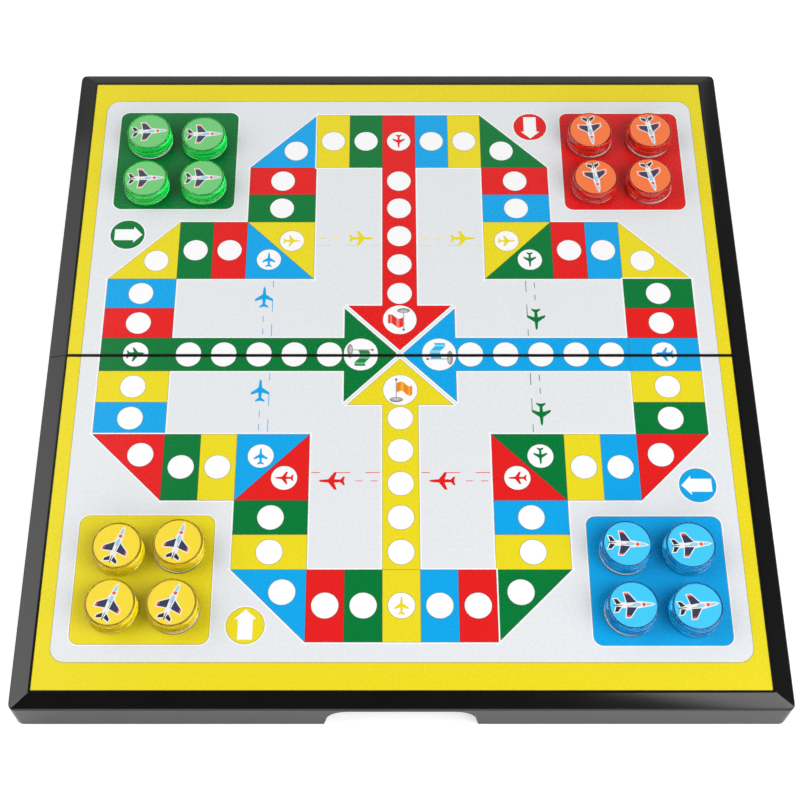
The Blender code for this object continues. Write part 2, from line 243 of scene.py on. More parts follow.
def on_seam_end(edge):
    return turns(edge) and all(abs(corner.x) > HALF_WIDTH - SIDE_FRAME and abs(corner.y) < 0.3
                               and corner.z > RIM_ABOVE_KNUCKLES for corner in corners_mm(edge))


def on_mitre(edge):
    ends = sorted(corner.z for corner in corners_mm(edge))
    return turns(edge) and CRISP - 0.1 < ends[0] < CORNER_TOP + 0.3 and ends[1] > DECK - 0.5


# %% Round the moulded edges and set the shading
def tray(node_name, body):
    piece = welded_copy(node_name, node_name + "_moulding")
    for label, test, width in (("crisp edge", on_crisp_edge, 0.70), ("deck edges", on_deck_edge, 0.15),
                               ("notch edges", on_notch_edge, 0.35), ("seam ends", on_seam_end, 0.20)):
        count = pick(piece, 'EDGE', test)
        bpy.ops.mesh.bevel(offset=width * MM, segments=2, profile=0.5, affect='EDGES', clamp_overlap=True)
        print(node_name, label, count, "edges")
    bpy.ops.object.mode_set(mode='OBJECT')
    smooth(piece)
    bpy.ops.object.mode_set(mode='EDIT')
    print(node_name, "mitres", pick(piece, 'EDGE', on_mitre))
    bpy.ops.mesh.mark_sharp()
    bpy.ops.object.mode_set(mode='OBJECT')
    evened = piece.modifiers.new("even normals", 'WEIGHTED_NORMAL')
    evened.keep_sharp = True
    bpy.ops.object.modifier_apply(modifier=evened.name)
    piece.data.materials.append(black_abs)
    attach(piece, body)
    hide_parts(node_name)
    return piece


for node_name, body in (("rear_shell", "rear_half"), ("front_shell", "front_half")):
    shell = tray(node_name, body)
    print(shell.name, "faces:", len(shell.data.polygons))


# %% [markdown]
# ## Drawn steel pins
#
# Each hinge turns on a length of drawn steel wire. Drawing leaves fine lines along the wire, so the bump is a
# noise stretched along X, and the cut ends are slightly chamfered. A cylinder with bevelled end rings is
# enough, because only short lengths show between the knuckles.

# %% Material: drawn steel wire
def drawn_steel():
    material, tree, surface = new_material("Drawn steel wire, bright", "#C2C3C4")
    place = add_node(tree, "ShaderNodeTexCoord").outputs["Object"]
    along = add_node(tree, "ShaderNodeMapping", {"Vector": place, "Scale": (0.02, 1.0, 1.0)})
    lines = add_node(tree, "ShaderNodeTexNoise", {"Vector": along.outputs["Vector"], "Scale": 1 / (0.08 * MM),
                                                  "Detail": 3.0})
    gloss = add_node(tree, "ShaderNodeMapRange", {"Value": lines.outputs["Fac"], "To Min": 0.22, "To Max": 0.42})
    relief = add_node(tree, "ShaderNodeBump", {"Height": lines.outputs["Fac"], "Strength": 0.25,
                                               "Distance": 0.01 * MM})
    tree.links.new(gloss.outputs["Result"], surface.inputs["Roughness"])
    tree.links.new(relief.outputs["Normal"], surface.inputs["Normal"])
    surface.inputs["Metallic"].default_value = 1.0
    return material


wire = drawn_steel()

# %% Model the pins
for node_name in ("hinge_pin_left", "hinge_pin_right"):
    low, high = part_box(node_name)
    bpy.ops.object.select_all(action='DESELECT')
    bpy.ops.mesh.primitive_cylinder_add(vertices=32, radius=(high.z - low.z) / 2, depth=high.x - low.x,
                                        location=(low + high) / 2, rotation=(0, math.pi / 2, 0))
    pin = bpy.context.object
    pin.name = pin.data.name = node_name + "_wire"
    bpy.ops.object.transform_apply(location=True, rotation=True, scale=True)
    bpy.ops.object.mode_set(mode='EDIT')
    pick(pin, 'EDGE', lambda edge: edge.calc_face_angle(0) > math.radians(60))
    bpy.ops.mesh.bevel(offset=0.15 * MM, segments=2, affect='EDGES')
    bpy.ops.object.mode_set(mode='OBJECT')
    smooth(pin)
    pin.data.materials.append(wire)
    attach(pin, "rear_half")
    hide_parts(node_name)
    print(pin.name, "length in mm:", round((high.x - low.x) / MM, 1))


# %% [markdown]
# ## Printing inks on tinplate
#
# The board is a thin steel sheet, printed by lithography and varnished. The ink lies flat and even. What the
# eye gets besides the colour is a very slight mottle of about 1.5 mm where the ink took unevenly, and the soft
# ripple of the varnish, about 2.5 mm from crest to crest. Each ink is the same finish in another colour, so one
# function mixes them all. The sheet's cut edge and back are bare tinplate.

# %% Material: litho inks under varnish
def litho_ink(name, hex_colour):
    material, tree, surface = new_material("Litho ink on tinplate, varnished, " + name, hex_colour)
    place = add_node(tree, "ShaderNodeTexCoord").outputs["Object"]
    mottle = add_node(tree, "ShaderNodeTexNoise", {"Vector": place, "Scale": 1 / (1.5 * MM), "Detail": 3.0})
    ripple = add_node(tree, "ShaderNodeTexNoise", {"Vector": place, "Scale": 1 / (2.5 * MM), "Detail": 1.0})
    colour = add_node(tree, "ShaderNodeMix", {0: mottle.outputs["Fac"], 6: shade(hex_colour, 0.993),
                                              7: shade(hex_colour, 1.007)}, data_type='RGBA')
    gloss = add_node(tree, "ShaderNodeMapRange", {"Value": mottle.outputs["Fac"], "To Min": 0.24, "To Max": 0.30})
    relief = add_node(tree, "ShaderNodeBump", {"Height": ripple.outputs["Fac"], "Strength": 0.05,
                                               "Distance": 0.02 * MM})
    tree.links.new(colour.outputs[2], surface.inputs["Base Color"])
    tree.links.new(gloss.outputs["Result"], surface.inputs["Roughness"])
    tree.links.new(relief.outputs["Normal"], surface.inputs["Normal"])
    surface.inputs["IOR"].default_value = 1.48
    return material


INKS = {"yellow": "#EFDD22", "panel": "#E8EBEE", "white": "#FFFFFF", "line": "#4A4040", "red": "#E81E1E",
        "green": "#007A37", "blue": "#0CA8EC", "grey": "#A6A6A6", "dark grey": "#6E6C6B", "light grey": "#CFCFCF",
        "green flag": "#1E8A4C", "green glint": "#6FC08C", "red flag": "#E23A2E", "red glint": "#F4877A",
        "blue flag": "#35B8EE", "blue glint": "#8FDAF6", "yellow flag": "#F28A1C", "yellow glint": "#F8B43A"}
inks = {name: litho_ink(name, hex_colour) for name, hex_colour in INKS.items()}
print("inks:", ", ".join(inks))


# %% Material: bare tinplate
def tinplate():
    material, tree, surface = new_material("Tinplate, bare, rolled", "#B9BBBD")
    place = add_node(tree, "ShaderNodeTexCoord").outputs["Object"]
    rolled = add_node(tree, "ShaderNodeMapping", {"Vector": place, "Scale": (0.05, 1.0, 1.0)})
    lines = add_node(tree, "ShaderNodeTexNoise", {"Vector": rolled.outputs["Vector"], "Scale": 1 / (0.4 * MM),
                                                  "Detail": 4.0})
    gloss = add_node(tree, "ShaderNodeMapRange", {"Value": lines.outputs["Fac"], "To Min": 0.25, "To Max": 0.45})
    relief = add_node(tree, "ShaderNodeBump", {"Height": lines.outputs["Fac"], "Strength": 0.15,
                                               "Distance": 0.01 * MM})
    tree.links.new(gloss.outputs["Result"], surface.inputs["Roughness"])
    tree.links.new(relief.outputs["Normal"], surface.inputs["Normal"])
    surface.inputs["Metallic"].default_value = 1.0
    return material


bare_tin = tinplate()

# %% [markdown]
# ## Drawing the print
#
# The course is a traditional cross of squares for four players. It is the same in every quarter but for the
# colours, which move on by one player. So one quarter is drawn, in squares of 16.04 mm, and turned four times.
# A print like this could be an image, but here it is real geometry: each shape is a polygon with an ink, laid
# down in printing order. Later shapes cover earlier ones, as on the press.

# %% Outlines: growing, turning, discs
SQUARE = 16.04
KEY_LINE = 0.15
HALO = 0.6
PLAYERS = ("green", "red", "blue", "yellow")


def leftward(points):
    """The same outline, run so that its inside lies to the left, as the cutter needs it."""
    area = sum(points[i - 1][0] * points[i][1] - points[i][0] * points[i - 1][1] for i in range(len(points)))
    return list(points) if area > 0 else list(reversed(points))


def grown(points, distance):
    """Offset a closed outline outwards, with pointed corners."""
    points = leftward(points)
    count = len(points)
    result = []
    for index in range(count):
        here = Vector(points[index])
        ahead = (Vector(points[(index + 1) % count]) - here).normalized()
        behind = (here - Vector(points[index - 1])).normalized()
        first = Vector((behind.y, -behind.x))
        second = Vector((ahead.y, -ahead.x))
        middle = (first + second).normalized()
        result.append(tuple(here + middle * distance / max(middle.dot(first), 0.25)))
    return result


def disc(centre, radius, sides=48):
    return [(centre[0] + radius * math.cos(math.tau * step / sides),
             centre[1] + radius * math.sin(math.tau * step / sides)) for step in range(sides)]


def boxed(x0, y0, x1, y1):
    return [(x0, y0), (x1, y0), (x1, y1), (x0, y1)]


def rounded(x0, y0, x1, y1, radius, steps=6):
    points = []
    for cx, cy, start in ((x1 - radius, y1 - radius, 0), (x0 + radius, y1 - radius, 90),
                          (x0 + radius, y0 + radius, 180), (x1 - radius, y0 + radius, 270)):
        for step in range(steps + 1):
            angle = math.radians(start + 90 * step / steps)
            points.append((cx + radius * math.cos(angle), cy + radius * math.sin(angle)))
    return points


def placed(points, centre=(0, 0), size=1.0, degrees=0.0):
    """Scale an outline, turn it and move it."""
    turn = Matrix.Rotation(math.radians(degrees), 2)
    return [tuple(turn @ Vector(point) * size + Vector(centre)) for point in points]


# %% The aircraft sign, drawn as a half outline and mirrored
SIGN_HALF = ((.50, 0), (.40, .045), (.22, .06), (.12, .07), (-.10, .36), (-.20, .36), (-.10, .07), (-.32, .055),
             (-.44, .18), (-.50, .18), (-.46, .03))
SIGN = list(SIGN_HALF) + [(x, -y) for x, y in reversed(SIGN_HALF) if y]
BLOCK_ARROW = [(7.1, 0), (2.9, 4.6), (2.9, 3.1), (-6.1, 3.1), (-6.1, -3.1), (2.9, -3.1), (2.9, -4.6)]


# %% The wavy flag on its pole and foot, in millimetres
def ellipse(centre, wide, tall, sides=24):
    return [(centre[0] + wide * math.cos(math.tau * step / sides),
             centre[1] + tall * math.sin(math.tau * step / sides)) for step in range(sides)]


def waving(left, right, low, high):
    """A strip of cloth between two heights that droops and waves to the right."""
    xs = [left + (right - left) * step / 10 for step in range(11)]
    fall = [0.85 * math.sin((x + 1.0) * 0.95) - 0.22 * (x + 1.4) for x in xs]
    return [(x, low + drop) for x, drop in zip(xs, fall)] + [(x, high + drop) for x, drop in
                                                               reversed(list(zip(xs, fall)))]


def flag(player):
    shapes = [(ellipse((-1.8, -4.9), 3.0, 1.3), "dark grey"), (ellipse((-1.8, -4.75), 2.75, 1.05), "grey"),
              (ellipse((-1.8, -4.6), 1.5, 0.5), "light grey")]
    shapes.append((waving(-1.6, 5.4, -0.9, 3.9), player + " flag"))
    shapes.append((waving(0.2, 1.6, -0.9, 3.9), player + " glint"))
    shapes.append((waving(3.6, 4.5, -0.9, 3.9), player + " glint"))
    shapes.append((boxed(-2.0, -4.7, -1.55, 5.2), "grey"))
    shapes.append((ellipse((-1.78, 5.3), 0.6, 0.6), "dark grey"))
    return shapes


# %% One quarter of the course, for the player whose strip runs in from the left
CELLS = [
    (boxed(-8.5, 1.5, -6.5, 2.5), "blue", (-7.5, 2.0)), (boxed(-8.5, 0.5, -6.5, 1.5), "red", (-7.5, 1.0)),
    (boxed(-8.5, -1.5, -6.5, -0.5), "yellow", (-7.5, -1.0)), (boxed(-8.5, -2.5, -6.5, -1.5), "blue", (-7.5, -2.0)),
    ([(-6.5, 4.5), (-8.5, 2.5), (-6.5, 2.5)], "yellow", (-7.13, 3.13)),
    (boxed(-6.5, 2.5, -5.5, 4.5), "green", (-6.0, 3.5)), (boxed(-5.5, 2.5, -4.5, 4.5), "red", (-5.0, 3.5)),
    ([(-4.5, 4.5), (-2.5, 2.5), (-2.5, 4.5)], "yellow", (-3.17, 3.83)),
    ([(-4.5, 4.5), (-4.5, 2.5), (-2.5, 2.5)], "blue", (-3.83, 3.17)),
    (boxed(-4.5, 4.5, -2.5, 5.5), "green", (-3.5, 5.0)), (boxed(-4.5, 5.5, -2.5, 6.5), "red", (-3.5, 6.0)),
    ([(-2.5, 8.5), (-4.5, 6.5), (-2.5, 6.5)], "blue", (-3.13, 7.13)),
    (boxed(-8.5, -0.5, -6.5, 0.5), "green", (-7.5, 0.0)),
]
STRIP = [(-6.5, -.5), (-1.58, -.5), (-1.58, -1.48), (-.10, 0), (-1.58, 1.48), (-1.58, .5), (-6.5, .5)]
LANDING = [(-3.17, 3.83, 0, "yellow"), (-3.83, 3.17, 90, "blue"), (-7.5, 0.0, 0, "green")]
DISC = 0.36
FLAG_AT, FLAG_DISC = (-1.11, 0), 0.486


def quarter():
    """Every shape of the quarter, in printing order, as (outline in squares, ink)."""
    key = KEY_LINE / 2 / SQUARE
    halo = HALO / SQUARE
    shapes = [(grown(outline, key + halo), "white") for outline, ink, centre in CELLS]
    shapes.append((grown(STRIP, key + halo), "white"))
    for outline, ink in [cell[:2] for cell in CELLS] + [(STRIP, "green")]:
        shapes += [(grown(outline, key), "line"), (grown(outline, -key), ink)]
    spots = [cell[2] for cell in CELLS] + [(-float(step), 0.0) for step in (2, 3, 4, 5, 6)]
    for centre in spots:
        shapes += [(disc(centre, DISC + key), "line"), (disc(centre, DISC - key), "white")]
    shapes += [(disc(FLAG_AT, FLAG_DISC + key), "line"), (disc(FLAG_AT, FLAG_DISC - key), "white")]
    shapes += [(placed(outline, FLAG_AT, 1 / SQUARE, -90), ink) for outline, ink in flag("green")]
    shapes += [(placed(SIGN, (x, y), .52, degrees), ink) for x, y, degrees, ink in LANDING]
    return shapes


# %% Home square, start disc and flight line of the quarter
def home_and_start():
    """The shapes outside the course: home square and start disc, in millimetres."""
    start = (-8.05 * SQUARE, 4.05 * SQUARE)
    home = rounded(-137.3, 79.8, -79.4, 137.8, 4.0)
    shapes = []
    for outline in (home, disc(start, .5 * SQUARE)):
        shapes += [(grown(outline, HALO), "white"), (grown(outline, KEY_LINE / 2), "line"),
                   (grown(outline, -KEY_LINE / 2), "green")]
    shapes.append((placed(BLOCK_ARROW, start), "white"))
    return shapes


def flight_line():
    """Dashes and two signs of the flight line on the quarter's left, in squares."""
    stroke = 0.35 / 2 / SQUARE
    shapes = []
    for begin in (-2.5, 0.5):
        for x, spans in ((-3.92, ((.13, .32), (.54, .73))), (-3.67, ((.07, .46), (.88, 1.28), (1.70, 1.93)))):
            shapes += [(boxed(x - stroke, begin + low, x + stroke, begin + high), "blue") for low, high in spans]
        shapes.append((placed(SIGN, (-3.92, begin + 1.38), .73, 90), "blue"))
    return shapes


# %% Turn the quarter four times
PANEL = rounded(-145, -145, 145, 145, 6.4)


def whole_print():
    """All shapes of the open board in millimetres, in printing order, as (outline, ink)."""
    shapes = [(grown(PANEL, KEY_LINE / 2), "line"), (grown(PANEL, -KEY_LINE / 2), "panel")]
    drawn = [(placed(outline, size=SQUARE), ink) for outline, ink in flight_line() + quarter()]
    for times in range(4):
        for outline, ink in home_and_start() + drawn:
            player, *rest = ink.split(" ")
            if player in PLAYERS:
                ink = " ".join([PLAYERS[(PLAYERS.index(player) + times) % 4], *rest])
            shapes.append((placed(outline, degrees=-90 * times), ink))
    return shapes


artwork = whole_print()
print("printed shapes:", len(artwork))

# %% [markdown]
# ## The printed sheets
#
# Hundreds of thin faces stacked on one another would flicker and couldn't be baked as one sheet. So all outlines are
# cut into one another by a constrained triangulation, and every resulting face takes the ink of the last shape
# that covers it. The sheet stays one flat skin. Its rim is then pulled down by the 0.4 mm of the steel, and the
# back is filled.

# %% Cut the outlines into one flat skin
def flat_skin(name, outline, shapes, materials):
    """A flat mesh inside an outline, each face with the ink of the last shape over it."""
    corners, rings = [], []
    for points in [leftward(outline)] + [leftward(shape[0]) for shape in shapes]:
        rings.append(list(range(len(corners), len(corners) + len(points))))
        corners += [Vector(point) for point in points]
    points, _, faces, _, _, covers = delaunay_2d_cdt(corners, [], rings, 1, 1e-4, True)
    names = list(materials)
    kept = [(face, max(cover)) for face, cover in zip(faces, covers) if 0 in cover]
    mesh = bpy.data.meshes.new(name)
    mesh.from_pydata([(point.x * MM, point.y * MM, 0) for point in points], [], [face for face, _ in kept])
    for ink in names:
        mesh.materials.append(materials[ink])
    default = names.index("ground")
    for polygon, (_, cover) in zip(mesh.polygons, kept):
        polygon.material_index = names.index(shapes[cover - 1][1]) if cover else default
    piece = bpy.data.objects.new(name, mesh)
    bpy.context.scene.collection.objects.link(piece)
    alone(piece)
    bpy.ops.object.mode_set(mode='EDIT')
    bpy.ops.mesh.select_all(action='SELECT')
    bpy.ops.mesh.delete_loose()
    bpy.ops.mesh.select_all(action='SELECT')
    bpy.ops.mesh.normals_make_consistent(inside=False)
    return piece


# %% Give the skin its thickness
def thickened(piece, depth, back_slot):
    """Pull the rim of a flat skin down and close the back. Starts and ends in edit mode."""
    bpy.ops.mesh.select_mode(type='EDGE')
    bpy.ops.mesh.select_all(action='DESELECT')
    bpy.ops.mesh.select_non_manifold(extend=False, use_wire=False, use_boundary=True, use_multi_face=False,
                                     use_non_contiguous=False, use_verts=False)
    bpy.ops.mesh.extrude_edges_move(TRANSFORM_OT_translate={"value": (0, 0, -depth * MM)})
    bpy.ops.mesh.edge_face_add()
    count = pick(piece, 'FACE', lambda face: min(corner.co.z for corner in face.verts) < -depth * MM / 2)
    piece.active_material_index = back_slot
    bpy.ops.object.material_slot_assign()
    bpy.ops.mesh.select_all(action='SELECT')
    bpy.ops.mesh.normals_make_consistent(inside=False)
    return count


# %% Print both sheets
PLATE_HALF_WIDTH, PLATE_NEAR, PLATE_FAR, PLATE_CORNER = 151.0, 0.75, 156.8, 0.4
PLATE_TOP, PLATE_THICK = 21.0, 0.4
PRINT_SHIFT = {"rear": (0.2, 1.15), "front": (0.2, -0.05)}


def sheet(half, facing):
    """One printed sheet: the pattern is moved a little in each half, as it is printed on the real one."""
    outline = rounded(-PLATE_HALF_WIDTH, PLATE_NEAR, PLATE_HALF_WIDTH, PLATE_FAR, PLATE_CORNER, steps=4)
    outline = [(x, y * facing) for x, y in outline]
    shapes = [(placed(points, PRINT_SHIFT[half]), ink) for points, ink in artwork]
    slots = {"ground": inks["yellow"], **inks, "back": bare_tin}
    piece = flat_skin(half + "_printed_sheet", outline, shapes, slots)
    thickened(piece, PLATE_THICK, list(slots).index("back"))
    bpy.ops.object.mode_set(mode='OBJECT')
    settle(piece, (0, 0, PLATE_TOP * MM))
    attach(piece, half + "_half")
    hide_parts(half + "_board_plate")
    return piece


for half, facing in (("rear", 1), ("front", -1)):
    plate = sheet(half, facing)


# %% [markdown]
# ## Token cases of clear coloured polystyrene
#
# A token is a puck, moulded in clear dyed polystyrene and polished by the mould: light goes in, turns and
# comes out as bright rings. Three things make that read: a real solid of glass with a refractive index of 1.59,
# a strong dye, and the steps of the profile, which are a base flange, a groove at mid height and a rounded rim
# round the label's seat. The puck is turned once: a disc is added and its edge ring is extruded up the profile.

# %% Material: clear dyed polystyrene
def clear_polystyrene(name, hex_colour):
    material, tree, surface = new_material("Clear polystyrene, dyed, " + name, hex_colour)
    place = add_node(tree, "ShaderNodeTexCoord").outputs["Object"]
    flow = add_node(tree, "ShaderNodeTexNoise", {"Vector": place, "Scale": 1 / (4 * MM), "Detail": 2.0})
    colour = add_node(tree, "ShaderNodeMix", {0: flow.outputs["Fac"], 6: shade(hex_colour, 0.96),
                                              7: shade(hex_colour, 1.04)}, data_type='RGBA')
    gloss = add_node(tree, "ShaderNodeMapRange", {"Value": flow.outputs["Fac"], "To Min": 0.02, "To Max": 0.06})
    relief = add_node(tree, "ShaderNodeBump", {"Height": flow.outputs["Fac"], "Strength": 0.08,
                                               "Distance": 0.05 * MM})
    tree.links.new(colour.outputs[2], surface.inputs["Base Color"])
    tree.links.new(gloss.outputs["Result"], surface.inputs["Roughness"])
    tree.links.new(relief.outputs["Normal"], surface.inputs["Normal"])
    surface.inputs["IOR"].default_value = 1.59
    surface.inputs["Transmission Weight"].default_value = 0.88
    return material


DYES = {"green": "#28FF64", "red": "#FF3420", "yellow": "#FFE018", "blue": "#18B8FF"}
dyed = {name: clear_polystyrene(name, hex_colour) for name, hex_colour in DYES.items()}

# %% Turn one puck: heights are above the token's underside
FOOT_RADIUS, FOOT, SEAT_RADIUS, SEAT, RIM_TOP = 10.85, 1.2, 9.85, 7.95, 8.2
PROFILE = [(11.0, 1.35), (11.0, 1.5), (10.85, 1.62), (10.68, 1.72), (10.6, 2.0), (10.6, 3.22),
           (10.56, 3.28), (10.42, 3.34), (10.42, 3.46), (10.56, 3.52), (10.6, 3.58), (10.6, 4.82), (10.5, 4.88),
           (10.22, 4.92), (10.2, 5.1), (10.22, 5.28), (10.5, 5.32), (10.6, 5.38), (10.6, 7.6), (10.56, 7.84),
           (10.45, 8.03), (10.28, 8.15), (10.1, RIM_TOP), (9.95, 8.19), (9.87, 8.12), (SEAT_RADIUS, SEAT)]


def turned_puck():
    radius, height = FOOT_RADIUS, FOOT
    bpy.ops.object.select_all(action='DESELECT')
    bpy.ops.mesh.primitive_circle_add(vertices=96, radius=radius * MM, fill_type='NGON',
                                      location=(0, 0, height * MM))
    piece = bpy.context.object
    settle(piece, piece.location.copy())
    bpy.ops.object.mode_set(mode='EDIT')
    bpy.ops.mesh.select_all(action='SELECT')
    for next_radius, next_height in PROFILE:
        bpy.ops.mesh.extrude_region_move(TRANSFORM_OT_translate={"value": (0, 0, (next_height - height) * MM)})
        factor = next_radius / radius
        bpy.ops.transform.resize(value=(factor, factor, 1), center_override=(0, 0, next_height * MM))
        radius, height = next_radius, next_height
    bpy.ops.mesh.select_all(action='SELECT')
    bpy.ops.mesh.normals_make_consistent(inside=False)
    bpy.ops.object.mode_set(mode='OBJECT')
    smooth(piece, 50)
    return piece


puck = turned_puck()
print("puck faces:", len(puck.data.polygons), "size in mm:", [round(side / MM, 2) for side in puck.dimensions])

# %% [markdown]
# ## Labels
#
# Each token's label is coated paper under a clear gloss film, with a small aeroplane seen from above in navy,
# light blue and orange with a white outline. It could be drawn as an image too, but it is cut the same way as
# the board, outlines into one flat disc and then a thin edge, so it stays sharp at any distance. The film is a
# coat on the paper's shader, and the paper's own fibres give a very fine bump.

# %% Material: coated label paper
def label_paper(name, hex_colour):
    material, tree, surface = new_material("Coated label paper, " + name, hex_colour)
    place = add_node(tree, "ShaderNodeTexCoord").outputs["Object"]
    fibre = add_node(tree, "ShaderNodeTexNoise", {"Vector": place, "Scale": 1 / (0.5 * MM), "Detail": 3.0})
    colour = add_node(tree, "ShaderNodeMix", {0: fibre.outputs["Fac"], 6: shade(hex_colour, 0.95),
                                              7: shade(hex_colour, 1.05)}, data_type='RGBA')
    gloss = add_node(tree, "ShaderNodeMapRange", {"Value": fibre.outputs["Fac"], "To Min": 0.38, "To Max": 0.5})
    relief = add_node(tree, "ShaderNodeBump", {"Height": fibre.outputs["Fac"], "Strength": 0.06,
                                               "Distance": 0.02 * MM})
    tree.links.new(colour.outputs[2], surface.inputs["Base Color"])
    tree.links.new(gloss.outputs["Result"], surface.inputs["Roughness"])
    tree.links.new(relief.outputs["Normal"], surface.inputs["Normal"])
    surface.inputs["Coat Weight"].default_value = 1.0
    surface.inputs["Coat Roughness"].default_value = 0.06
    return material


LABELS = {"green": "#70CE76", "red": "#FF7832", "yellow": "#FDDE32", "blue": "#3CCDFA",
          "navy": "#2A3554", "black": "#1E2026", "sky": "#9ED2EE", "orange": "#F0532D", "white": "#F2F0F0"}
papers = {name: label_paper(name, hex_colour) for name, hex_colour in LABELS.items()}


# %% The aeroplane, in millimetres, pointing along X
def mirrored(half):
    return list(half) + [(x, -y) for x, y in reversed(half) if y]


FUSELAGE = mirrored([(8.2, 0), (7.2, .42), (4.4, .85), (2.2, 1.15), (0, 1.1), (-5.2, .8), (-7.0, .45)])
WINGS = mirrored([(1.5, .0), (1.5, .9), (-1.7, 5.3), (-3.5, 5.3), (-2.7, .9), (-2.7, 0)])
TAIL = mirrored([(-4.9, .0), (-4.9, .6), (-6.7, 2.8), (-8.0, 2.8), (-7.1, .5), (-7.1, 0)])
TIP = [(-1.16, 4.55), (-1.7, 5.3), (-3.5, 5.3), (-3.36, 4.55)]
NOSE = mirrored([(8.2, 0), (7.2, .42), (5.4, .7), (5.4, 0)])
SPOT = disc((4.35, 0), .78, 16)
CANOPY = mirrored([(3.2, 0), (2.8, .55), (1.6, .8), (.3, .7), (-.5, 0)])
FIN = mirrored([(-4.4, 0), (-5.0, .16), (-7.8, .2), (-8.3, 0)])
WINDOWS = [boxed(-2.4 + step * .75, -.62, -2.0 + step * .75, -.28) for step in range(4)]
LABEL_RADIUS, LABEL_THICK, GLUE, OUTLINE = 9.7, 0.12, 0.06, 0.42


def aeroplane():
    shapes = [(grown(part, OUTLINE), "white") for part in (FUSELAGE, WINGS, TAIL)]
    shapes += [(WINGS, "navy"), (TAIL, "black"), (FUSELAGE, "white"), (NOSE, "sky"), (FIN, "black")]
    shapes += [(TIP, "orange"), ([(x, -y) for x, y in TIP], "orange"), (SPOT, "orange"), (CANOPY, "sky")]
    return shapes + [(window, "navy") for window in WINDOWS]


def printed_label(colour):
    """A label disc of one player's colour, its underside at z = 0."""
    slots = {"ground": papers[colour], **{name: papers[name] for name in ("navy", "black", "sky", "orange", "white")}}
    piece = flat_skin(colour + "_label_master", disc((0, 0), LABEL_RADIUS, 96), aeroplane(), slots)
    thickened(piece, LABEL_THICK, list(slots).index("white"))
    bpy.ops.object.mode_set(mode='OBJECT')
    return piece


label_masters = {colour: printed_label(colour) for colour in PLAYERS}
print("label faces:", {colour: len(piece.data.polygons) for colour, piece in label_masters.items()})

# %% [markdown]
# ## Magnets
#
# Under each puck sits a flat disc of ferrite with a white coated face. It is glued in by hand, so a sliver of
# it peeks out on one side. Ferrite is pressed and fired: its edge is slightly rounded, the coated face is matt,
# and the bare edge is dark grey with fine pores. Face and edge are one finish in two colours.

# %% Material and master shape of the magnet
def ferrite(name, hex_colour):
    material, tree, surface = new_material("Ferrite, pressed and fired, " + name, hex_colour)
    place = add_node(tree, "ShaderNodeTexCoord").outputs["Object"]
    pores = add_node(tree, "ShaderNodeTexNoise", {"Vector": place, "Scale": 1 / (0.6 * MM), "Detail": 4.0})
    colour = add_node(tree, "ShaderNodeMix", {0: pores.outputs["Fac"], 6: shade(hex_colour, 0.93),
                                              7: shade(hex_colour, 1.07)}, data_type='RGBA')
    gloss = add_node(tree, "ShaderNodeMapRange", {"Value": pores.outputs["Fac"], "To Min": 0.4, "To Max": 0.6})
    relief = add_node(tree, "ShaderNodeBump", {"Height": pores.outputs["Fac"], "Strength": 0.3,
                                               "Distance": 0.03 * MM})
    tree.links.new(colour.outputs[2], surface.inputs["Base Color"])
    tree.links.new(gloss.outputs["Result"], surface.inputs["Roughness"])
    tree.links.new(relief.outputs["Normal"], surface.inputs["Normal"])
    return material


MAGNET_RADIUS, MAGNET_THICK = 10.8, 1.0
bpy.ops.object.select_all(action='DESELECT')
bpy.ops.mesh.primitive_cylinder_add(vertices=96, radius=MAGNET_RADIUS * MM, depth=MAGNET_THICK * MM)
magnet_master = bpy.context.object
bpy.ops.object.mode_set(mode='EDIT')
pick(magnet_master, 'EDGE', lambda edge: edge.calc_face_angle(0) > math.radians(60))
bpy.ops.mesh.bevel(offset=0.15 * MM, segments=2, affect='EDGES')
bpy.ops.object.mode_set(mode='OBJECT')
smooth(magnet_master)
magnet_master.data.materials.append(ferrite("bare", "#5E5E60"))
magnet_master.data.materials.append(ferrite("white coated", "#DEDEDC"))
for face in magnet_master.data.polygons:
    face.material_index = 1 if face.normal.z > 0.9 else 0
print("magnet faces:", len(magnet_master.data.polygons))

# %% [markdown]
# ## Sixteen tokens
#
# The masters are copied to every token, each copy with its own mesh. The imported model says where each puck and
# its magnet sit. The labels are stuck on by hand, so every aeroplane points a little differently.

# %% Copy the masters to their places
HEADINGS = {"green": (4, 1, 3, 2), "red": (-84, -80, -82, -78), "yellow": (72, 75, 70, 70),
            "blue": (-4, 4, 2, 8)}


def copied(master, name, place, turn=0.0):
    piece = bpy.data.objects.new(name, master.data.copy())
    bpy.context.scene.collection.objects.link(piece)
    settle(piece, place, turn)
    return piece


def middle(node_name):
    low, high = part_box(node_name)
    return (low + high) / 2, low, high


for colour in PLAYERS:
    for number, heading in enumerate(HEADINGS[colour], start=1):
        token = colour + "_token_" + str(number)
        centre, low, high = middle(token + "_case")
        base = low.z - FOOT * MM
        case = copied(puck, token + "_puck", (centre.x, centre.y, base))
        case.data.materials.append(dyed[colour])
        label = copied(label_masters[colour], token + "_picture",
                       (centre.x, centre.y, base + (SEAT + GLUE + LABEL_THICK) * MM), math.radians(heading))
        magnet = copied(magnet_master, token + "_ferrite", middle(token + "_magnet")[0])
        for piece, part in ((case, "_case"), (label, "_label"), (magnet, "_magnet")):
            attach(piece, token)
            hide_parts(token + part)
    print(colour, "tokens placed")

for master in [puck, magnet_master, *label_masters.values()]:
    bpy.data.objects.remove(master)


# %% [markdown]
# ## Studio
#
# The board lies on a white table between two softboxes, one on the left and one in front on the right, with a
# low lamp in front and a dim card behind. They draw the light bands on the sloping frame, while the dark ceiling
# keeps the rest of it black. The floor shows plain white to the camera, pale in reflections, and still takes the
# object's shadow.

